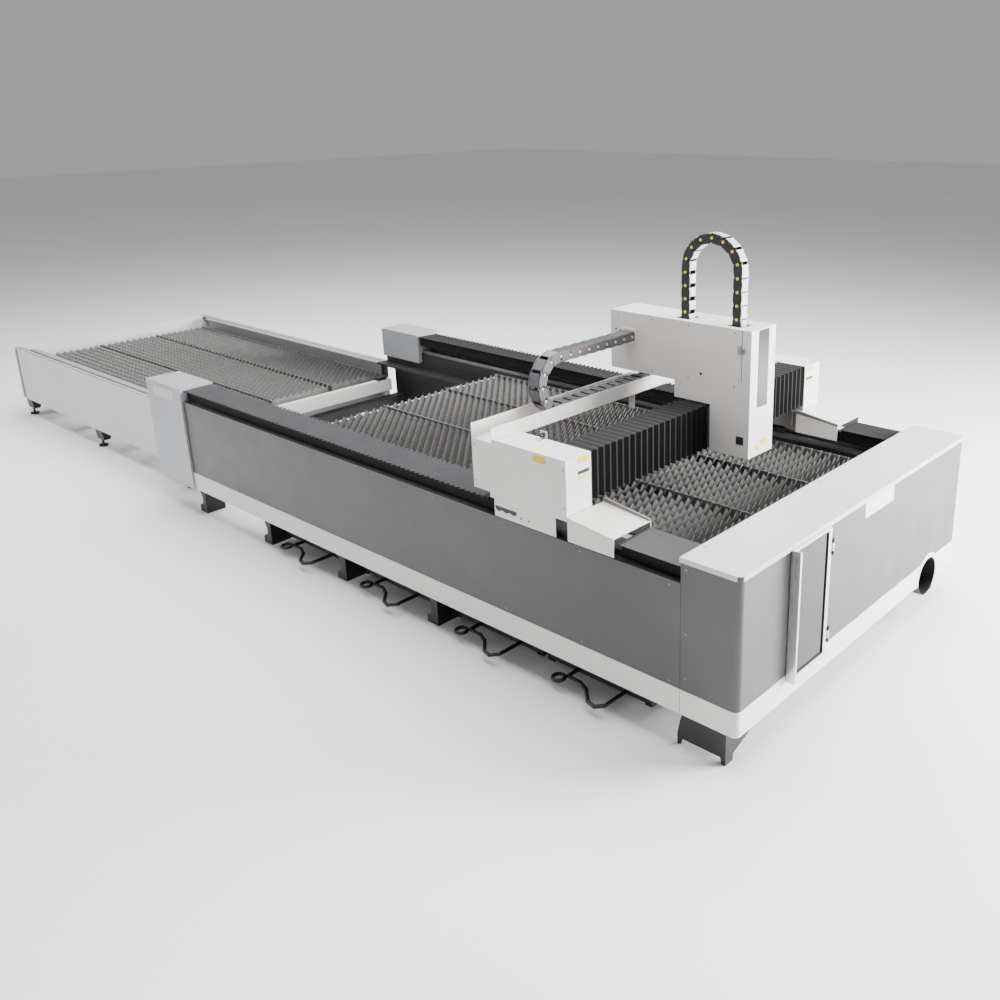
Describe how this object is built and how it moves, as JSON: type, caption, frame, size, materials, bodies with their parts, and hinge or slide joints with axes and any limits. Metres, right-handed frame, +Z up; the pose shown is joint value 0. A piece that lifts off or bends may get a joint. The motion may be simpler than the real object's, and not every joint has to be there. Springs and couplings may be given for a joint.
{
  "type": "fiber laser cutting machine",
  "caption": "Gantry laser cutter for sheet metal with a covered bed, a cutting head on a moving gantry, and a two-deck table that exchanges its pallets.",
  "frame": {"origin": "on the floor, at the middle of the whole machine's length and width", "axes": "+X along the machine from the exchange table to the bed's front cover, +Y across it to the far side, +Z up"},
  "size_m": [8.4, 2.4158, 2.1774],
  "materials": {
    "frame_grey": "semi-matt enamel",
    "panel_grey": "satin enamel",
    "skirt_grey": "satin enamel",
    "silver_grey": "satin powder coat",
    "cover_white": "satin powder coat",
    "rail_steel": "ground",
    "bellows_black": "coated fabric",
    "foot_black": "black enamel",
    "door_aluminium": "satin anodised",
    "door_glass": "dark tinted",
    "drawer_black": "black enamel",
    "duct_black": "moulded",
    "gantry_steel": "enamel",
    "motor_black": "black enamel",
    "chain_plastic": "moulded nylon",
    "window_dark": "smoked acrylic",
    "head_aluminium": "anodised",
    "copper": "turned copper",
    "slat_steel": "sheared mild steel",
    "wheel_steel": "turned",
    "exchange_grey": "satin powder coat"
  },
  "bodies": {
    "bed": {"bed_frame": "frame_grey", "side_panels": "panel_grey", "skirts": "skirt_grey", "front_cover": "silver_grey", "front_lid": "cover_white", "front_skirt": "cover_white", "rear_caps": "cover_white", "x_rails": "rail_steel", "x_racks": "rail_steel", "bellows_rear": "bellows_black", "bellows_front": "bellows_black", "foot_brackets": "foot_black", "drawer_rails": "frame_grey", "pallet_tracks": "frame_grey", "exhaust_duct": "duct_black", "door_hinges": "foot_black", "exchange_base": "frame_grey", "exchange_panels": "exchange_grey", "exchange_feet": "foot_black"},
    "door": {"door_frame": "door_aluminium", "door_glass": "door_glass"},
    "drawer_1": {"slag_drawer_1": "drawer_black"},
    "drawer_2": {"slag_drawer_2": "drawer_black"},
    "drawer_3": {"slag_drawer_3": "drawer_black"},
    "drawer_4": {"slag_drawer_4": "drawer_black"},
    "gantry": {"gantry_beam": "gantry_steel", "gantry_saddles": "gantry_steel", "gantry_end_near": "cover_white", "gantry_end_far": "cover_white", "ramp_shoes": "cover_white", "cable_tray": "cover_white", "y_rails": "rail_steel", "x_slide_blocks": "rail_steel", "x_drive_motors": "motor_black", "beam_bellows_near": "bellows_black", "beam_bellows_far": "bellows_black", "y_chain": "chain_plastic"},
    "pinion_near": {"x_pinion_near": "rail_steel"},
    "pinion_far": {"x_pinion_far": "rail_steel"},
    "carriage": {"carriage_cover": "cover_white", "carriage_window": "window_dark", "carriage_saddle": "gantry_steel", "carriage_motors": "motor_black", "chain_bracket": "gantry_steel", "z_chain": "chain_plastic"},
    "cross_pinion": {"y_pinion": "rail_steel"},
    "screw": {"z_screw": "rail_steel"},
    "head": {"head_slide": "gantry_steel", "cutting_head": "head_aluminium", "nozzle": "copper"},
    "pallet_a": {"pallet_a_frame": "frame_grey", "pallet_a_slats": "slat_steel"},
    "rollers_a_rear": {"wheels_a_rear": "wheel_steel"},
    "rollers_a_front": {"wheels_a_front": "wheel_steel"},
    "lift": {"lift_frame": "frame_grey"},
    "lift_drive": {"lift_shaft": "rail_steel"},
    "pallet_b": {"pallet_b_frame": "frame_grey", "pallet_b_slats": "slat_steel"},
    "rollers_b_rear": {"wheels_b_rear": "wheel_steel"},
    "rollers_b_front": {"wheels_b_front": "wheel_steel"}
  },
  "joints": [
    {"name": "gantry_slide", "type": "slide", "parent": "bed", "child": "gantry", "axis": [1, 0, 0], "range_m": [-2.8, 0.28], "deforming": ["bellows_rear", "bellows_front"]},
    {"name": "carriage_slide", "type": "slide", "parent": "gantry", "child": "carriage", "axis": [0, 1, 0], "range_m": [-0.85, 0.7], "deforming": ["beam_bellows_near", "beam_bellows_far", "y_chain"]},
    {"name": "head_lift", "type": "slide", "parent": "carriage", "child": "head", "axis": [0, 0, 1], "range_m": [-0.15, 0], "deforming": ["z_chain"]},
    {"name": "door_hinge", "type": "hinge", "parent": "bed", "child": "door", "pos_m": [4.168, -0.411, 0.6], "axis": [0, 0, 1], "range_deg": [0, 110]},
    {"name": "drawer_1_slide", "type": "slide", "parent": "bed", "child": "drawer_1", "axis": [0, -1, 0], "range_m": [0, 1.6]},
    {"name": "drawer_2_slide", "type": "slide", "parent": "bed", "child": "drawer_2", "axis": [0, -1, 0], "range_m": [0, 1.6]},
    {"name": "drawer_3_slide", "type": "slide", "parent": "bed", "child": "drawer_3", "axis": [0, -1, 0], "range_m": [0, 1.6]},
    {"name": "drawer_4_slide", "type": "slide", "parent": "bed", "child": "drawer_4", "axis": [0, -1, 0], "range_m": [0, 1.6]},
    {"name": "pallet_a_slide", "type": "slide", "parent": "bed", "child": "pallet_a", "axis": [-1, 0, 0], "range_m": [0, 4.54]},
    {"name": "table_lift", "type": "slide", "parent": "bed", "child": "lift", "axis": [0, 0, 1], "range_m": [0, 0.243]},
    {"name": "pallet_b_slide", "type": "slide", "parent": "lift", "child": "pallet_b", "axis": [1, 0, 0], "range_m": [0, 4.54]},
    {"name": "x_pinion_near_spin", "type": "hinge", "parent": "gantry", "child": "pinion_near", "pos_m": [2.9, -1.012, 0.9], "axis": [0, 0, 1], "continuous": true},
    {"name": "x_pinion_far_spin", "type": "hinge", "parent": "gantry", "child": "pinion_far", "pos_m": [2.9, 1.012, 0.9], "axis": [0, 0, 1], "continuous": true},
    {"name": "y_pinion_spin", "type": "hinge", "parent": "carriage", "child": "cross_pinion", "pos_m": [3.0593, 0.077, 1.25], "axis": [0, 0, 1], "continuous": true},
    {"name": "screw_spin", "type": "hinge", "parent": "carriage", "child": "screw", "pos_m": [3.216, 0.077, 1.3], "axis": [0, 0, 1], "continuous": true},
    {"name": "lift_shaft_spin", "type": "hinge", "parent": "bed", "child": "lift_drive", "pos_m": [-1.5, 0, 0.28], "axis": [0, 1, 0], "continuous": true},
    {"name": "roller_a_rear_spin", "type": "hinge", "parent": "pallet_a", "child": "rollers_a_rear", "pos_m": [0.795, 0, 0.7], "axis": [0, 1, 0], "continuous": true},
    {"name": "roller_a_front_spin", "type": "hinge", "parent": "pallet_a", "child": "rollers_a_front", "pos_m": [3.495, 0, 0.7], "axis": [0, 1, 0], "continuous": true},
    {"name": "roller_b_rear_spin", "type": "hinge", "parent": "pallet_b", "child": "rollers_b_rear", "pos_m": [-3.745, 0, 0.457], "axis": [0, 1, 0], "continuous": true},
    {"name": "roller_b_front_spin", "type": "hinge", "parent": "pallet_b", "child": "rollers_b_front", "pos_m": [-1.045, 0, 0.457], "axis": [0, 1, 0], "continuous": true}
  ],
  "couplings": [
    {"joint": "x_pinion_near_spin", "follows": "gantry_slide", "rad_per_m": 35.714},
    {"joint": "x_pinion_far_spin", "follows": "gantry_slide", "rad_per_m": -35.714},
    {"joint": "y_pinion_spin", "follows": "carriage_slide", "rad_per_m": 39.526},
    {"joint": "screw_spin", "follows": "head_lift", "rad_per_m": 314.16},
    {"joint": "lift_shaft_spin", "follows": "table_lift", "rad_per_m": 33},
    {"joint": "roller_a_rear_spin", "follows": "pallet_a_slide", "rad_per_m": -22.83},
    {"joint": "roller_a_front_spin", "follows": "pallet_a_slide", "rad_per_m": -22.83},
    {"joint": "roller_b_rear_spin", "follows": "pallet_b_slide", "rad_per_m": 22.83},
    {"joint": "roller_b_front_spin", "follows": "pallet_b_slide", "rad_per_m": 22.83}
  ]
}
